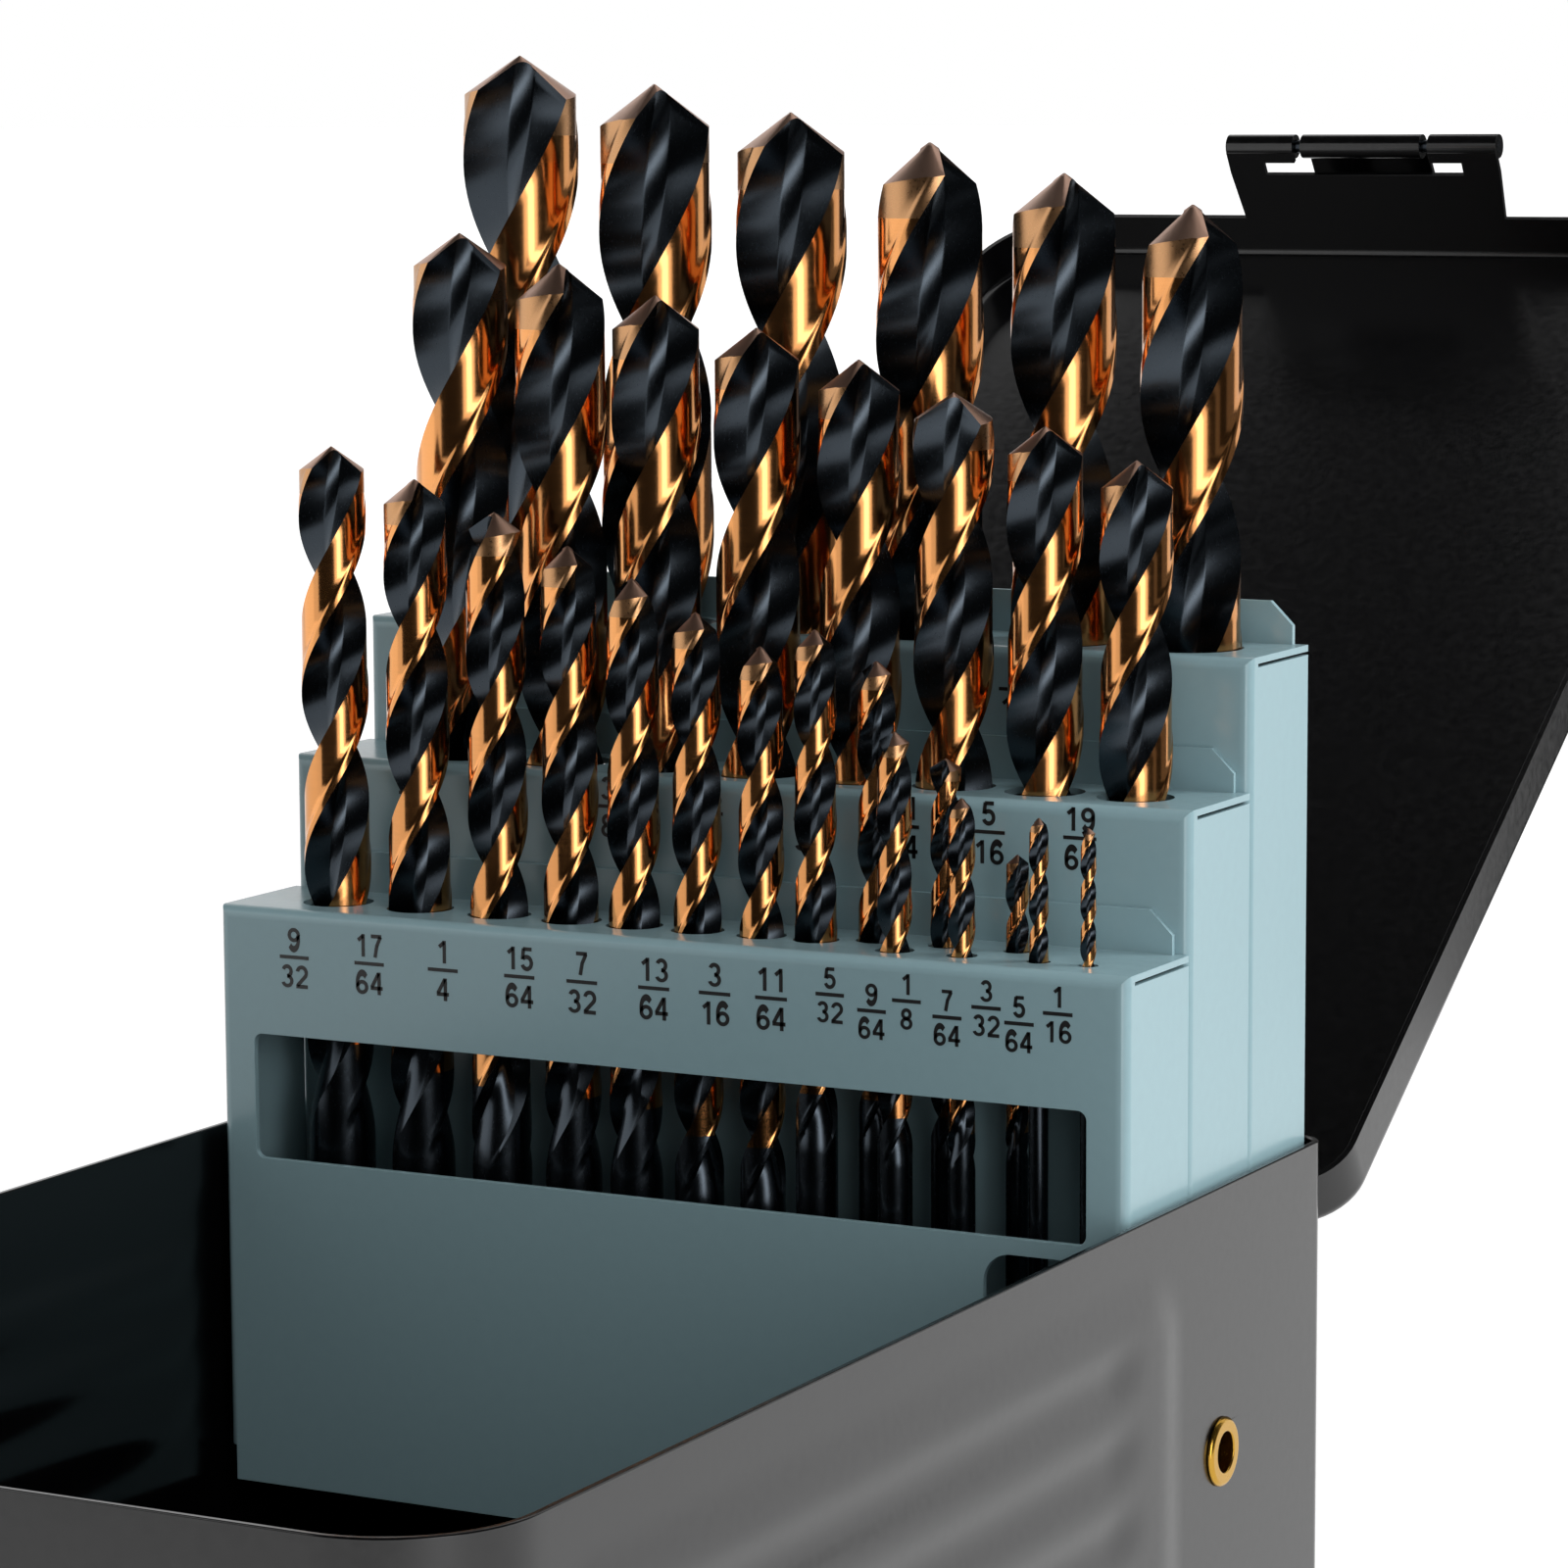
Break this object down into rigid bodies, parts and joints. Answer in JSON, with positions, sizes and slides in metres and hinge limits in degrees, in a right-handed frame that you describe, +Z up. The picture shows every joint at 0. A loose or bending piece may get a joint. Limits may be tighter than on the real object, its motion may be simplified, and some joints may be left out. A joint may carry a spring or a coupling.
{
  "type": "drill bit case",
  "caption": "Metal index case with a hinged lid and latch, stepped racks that fold down on hollow pivots, and a set of fractional-inch twist drills.",
  "frame": {"origin": "centre of the underside of the tray", "axes": "+X to the right, +Y towards the lid hinge, +Z up"},
  "size_m": [0.112, 0.3371, 0.1664],
  "materials": {
    "case_enamel": "gloss",
    "rack_enamel": "satin",
    "eyelet_brass": "satin",
    "plated_steel": "satin",
    "drill_steel": "black oxide and gold"
  },
  "bodies": {
    "tray": {"base_tray": "case_enamel", "eyelet_left": "eyelet_brass", "eyelet_right": "eyelet_brass", "latch_stud": "plated_steel", "hinge_leaf_base": "plated_steel", "hinge_pin": "plated_steel"},
    "racks": {"front_rack": "rack_enamel", "middle_rack": "rack_enamel", "back_rack": "rack_enamel", "front_rest": "rack_enamel", "middle_rest": "rack_enamel", "back_rest": "rack_enamel"},
    "lid": {"lid_shell": "case_enamel", "hinge_leaf_lid": "plated_steel", "latch_pin": "plated_steel"},
    "clasp": {"latch_clasp": "case_enamel"},
    "drill_9_32": {"drill_9_32": "drill_steel"},
    "drill_17_64": {"drill_17_64": "drill_steel"},
    "drill_1_4": {"drill_1_4": "drill_steel"},
    "drill_15_64": {"drill_15_64": "drill_steel"},
    "drill_7_32": {"drill_7_32": "drill_steel"},
    "drill_13_64": {"drill_13_64": "drill_steel"},
    "drill_3_16": {"drill_3_16": "drill_steel"},
    "drill_11_64": {"drill_11_64": "drill_steel"},
    "drill_5_32": {"drill_5_32": "drill_steel"},
    "drill_9_64": {"drill_9_64": "drill_steel"},
    "drill_1_8": {"drill_1_8": "drill_steel"},
    "drill_7_64": {"drill_7_64": "drill_steel"},
    "drill_3_32": {"drill_3_32": "drill_steel"},
    "drill_5_64": {"drill_5_64": "drill_steel"},
    "drill_1_16": {"drill_1_16": "drill_steel"},
    "drill_13_32": {"drill_13_32": "drill_steel"},
    "drill_25_64": {"drill_25_64": "drill_steel"},
    "drill_3_8": {"drill_3_8": "drill_steel"},
    "drill_23_64": {"drill_23_64": "drill_steel"},
    "drill_11_32": {"drill_11_32": "drill_steel"},
    "drill_21_64": {"drill_21_64": "drill_steel"},
    "drill_5_16": {"drill_5_16": "drill_steel"},
    "drill_19_64": {"drill_19_64": "drill_steel"},
    "drill_1_2": {"drill_1_2": "drill_steel"},
    "drill_31_64": {"drill_31_64": "drill_steel"},
    "drill_15_32": {"drill_15_32": "drill_steel"},
    "drill_29_64": {"drill_29_64": "drill_steel"},
    "drill_7_16": {"drill_7_16": "drill_steel"},
    "drill_27_64": {"drill_27_64": "drill_steel"}
  },
  "joints": [
    {"name": "rack_fold", "type": "hinge", "parent": "tray", "child": "racks", "pos_m": [0, 0.06045, 0.0245], "axis": [-1, 0, 0], "range_deg": [-90, 0]},
    {"name": "clasp_swing", "type": "hinge", "parent": "lid", "child": "clasp", "pos_m": [0, 0.2362, 0.15492], "axis": [-1, 0, 0], "range_deg": [-176, 0]},
    {"name": "lid_hinge", "type": "hinge", "parent": "tray", "child": "lid", "pos_m": [0, 0.0904, 0.047], "axis": [-1, 0, 0], "range_deg": [-147, 0]},
    {"name": "lift_9_32", "type": "slide", "parent": "racks", "child": "drill_9_32", "axis": [0, 0, 1], "range_m": [0, 0.0631]},
    {"name": "lift_17_64", "type": "slide", "parent": "racks", "child": "drill_17_64", "axis": [0, 0, 1], "range_m": [0, 0.0631]},
    {"name": "lift_1_4", "type": "slide", "parent": "racks", "child": "drill_1_4", "axis": [0, 0, 1], "range_m": [0, 0.0631]},
    {"name": "lift_15_64", "type": "slide", "parent": "racks", "child": "drill_15_64", "axis": [0, 0, 1], "range_m": [0, 0.0631]},
    {"name": "lift_7_32", "type": "slide", "parent": "racks", "child": "drill_7_32", "axis": [0, 0, 1], "range_m": [0, 0.0631]},
    {"name": "lift_13_64", "type": "slide", "parent": "racks", "child": "drill_13_64", "axis": [0, 0, 1], "range_m": [0, 0.0631]},
    {"name": "lift_3_16", "type": "slide", "parent": "racks", "child": "drill_3_16", "axis": [0, 0, 1], "range_m": [0, 0.0631]},
    {"name": "lift_11_64", "type": "slide", "parent": "racks", "child": "drill_11_64", "axis": [0, 0, 1], "range_m": [0, 0.0548]},
    {"name": "lift_5_32", "type": "slide", "parent": "racks", "child": "drill_5_32", "axis": [0, 0, 1], "range_m": [0, 0.0548]},
    {"name": "lift_9_64", "type": "slide", "parent": "racks", "child": "drill_9_64", "axis": [0, 0, 1], "range_m": [0, 0.0548]},
    {"name": "lift_1_8", "type": "slide", "parent": "racks", "child": "drill_1_8", "axis": [0, 0, 1], "range_m": [0, 0.0548]},
    {"name": "lift_7_64", "type": "slide", "parent": "racks", "child": "drill_7_64", "axis": [0, 0, 1], "range_m": [0, 0.0548]},
    {"name": "lift_3_32", "type": "slide", "parent": "racks", "child": "drill_3_32", "axis": [0, 0, 1], "range_m": [0, 0.0514]},
    {"name": "lift_5_64", "type": "slide", "parent": "racks", "child": "drill_5_64", "axis": [0, 0, 1], "range_m": [0, 0.0404]},
    {"name": "lift_1_16", "type": "slide", "parent": "racks", "child": "drill_1_16", "axis": [0, 0, 1], "range_m": [0, 0.0379]},
    {"name": "lift_13_32", "type": "slide", "parent": "racks", "child": "drill_13_32", "axis": [0, 0, 1], "range_m": [0, 0.0808]},
    {"name": "lift_25_64", "type": "slide", "parent": "racks", "child": "drill_25_64", "axis": [0, 0, 1], "range_m": [0, 0.0808]},
    {"name": "lift_3_8", "type": "slide", "parent": "racks", "child": "drill_3_8", "axis": [0, 0, 1], "range_m": [0, 0.0808]},
    {"name": "lift_23_64", "type": "slide", "parent": "racks", "child": "drill_23_64", "axis": [0, 0, 1], "range_m": [0, 0.0808]},
    {"name": "lift_11_32", "type": "slide", "parent": "racks", "child": "drill_11_32", "axis": [0, 0, 1], "range_m": [0, 0.0808]},
    {"name": "lift_21_64", "type": "slide", "parent": "racks", "child": "drill_21_64", "axis": [0, 0, 1], "range_m": [0, 0.0808]},
    {"name": "lift_5_16", "type": "slide", "parent": "racks", "child": "drill_5_16", "axis": [0, 0, 1], "range_m": [0, 0.0808]},
    {"name": "lift_19_64", "type": "slide", "parent": "racks", "child": "drill_19_64", "axis": [0, 0, 1], "range_m": [0, 0.0808]},
    {"name": "lift_1_2", "type": "slide", "parent": "racks", "child": "drill_1_2", "axis": [0, 0, 1], "range_m": [0, 0.0946]},
    {"name": "lift_31_64", "type": "slide", "parent": "racks", "child": "drill_31_64", "axis": [0, 0, 1], "range_m": [0, 0.0946]},
    {"name": "lift_15_32", "type": "slide", "parent": "racks", "child": "drill_15_32", "axis": [0, 0, 1], "range_m": [0, 0.0946]},
    {"name": "lift_29_64", "type": "slide", "parent": "racks", "child": "drill_29_64", "axis": [0, 0, 1], "range_m": [0, 0.0946]},
    {"name": "lift_7_16", "type": "slide", "parent": "racks", "child": "drill_7_16", "axis": [0, 0, 1], "range_m": [0, 0.0946]},
    {"name": "lift_27_64", "type": "slide", "parent": "racks", "child": "drill_27_64", "axis": [0, 0, 1], "range_m": [0, 0.0946]}
  ],
  "couplings": [
    {"joint": "lid_hinge", "follows": "rack_fold", "ratio": 1.6333}
  ]
}
